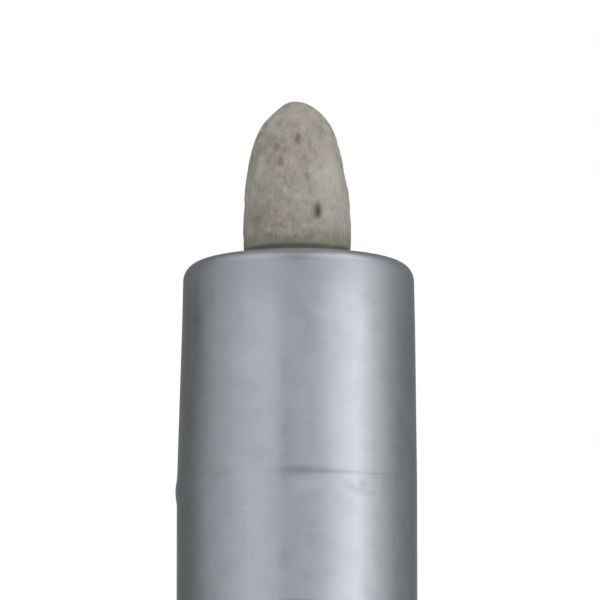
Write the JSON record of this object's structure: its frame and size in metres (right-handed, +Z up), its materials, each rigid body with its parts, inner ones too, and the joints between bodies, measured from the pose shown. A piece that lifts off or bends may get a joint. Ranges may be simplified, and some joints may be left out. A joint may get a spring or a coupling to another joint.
{
  "type": "blending stump",
  "caption": "Marker-shaped blending stump: felt bullet nib in a satin metal nose, spring valve, slim metal barrel with a printed sleeve, posted cap with a clip.",
  "frame": {"origin": "centre of the outside face of the cap's closed end, which the marker stands on with its cap posted", "axes": "+Z up along the marker towards the nib, +X towards the cap's clip, -Y towards the thumbnail notch of the nose sleeve"},
  "size_m": [0.0177, 0.016, 0.1577],
  "materials": {
    "felt": "pressed and resin-bound fibre, matt, lightly worn",
    "nose_metal": "satin lacquer",
    "barrel_metal": "satin lacquer",
    "cap_metal": "satin lacquer",
    "guide_plastic": "matt moulded",
    "insert_plastic": "matt moulded",
    "valve_plastic": "moulded, slightly glossy",
    "seal_rubber": "matt",
    "spring_steel": "drawn wire",
    "label_film": "matt printed film",
    "plug_plastic": "fine spark-eroded texture",
    "liner_plastic": "waxy, translucent white",
    "clip_steel": "brushed along the clip"
  },
  "bodies": {
    "barrel": {"barrel": "barrel_metal", "label_sleeve": "label_film", "tail_plug": "plug_plastic", "tail_seal_ring": "seal_rubber", "nose_sleeve": "nose_metal", "nib_guide": "guide_plastic", "nose_insert": "insert_plastic", "neck_seal_ring": "seal_rubber", "valve_housing": "valve_plastic", "valve_seat": "seal_rubber", "valve_cage": "valve_plastic", "valve_spring": "spring_steel"},
    "plunger": {"valve_plunger": "valve_plastic"},
    "nib": {"nib": "felt"},
    "cap": {"cap_shell": "cap_metal", "cap_liner": "liner_plastic", "cap_end_plug": "plug_plastic", "cap_clip": "clip_steel", "clip_rivet": "clip_steel"}
  },
  "joints": [
    {"name": "valve_press", "type": "slide", "parent": "barrel", "child": "plunger", "axis": [0, 0, -1], "range_m": [0, 0.0015], "stiffness_N_per_m": 400, "springref_m": -0.001, "deforming": ["valve_spring"]},
    {"name": "nib_pull", "type": "slide", "parent": "plunger", "child": "nib", "axis": [0, 0, 1], "range_m": [0, 0.018]},
    {"name": "cap_pull", "type": "slide", "parent": "cap", "child": "barrel", "axis": [0, 0, 1], "range_m": [0, 0.016]}
  ]
}
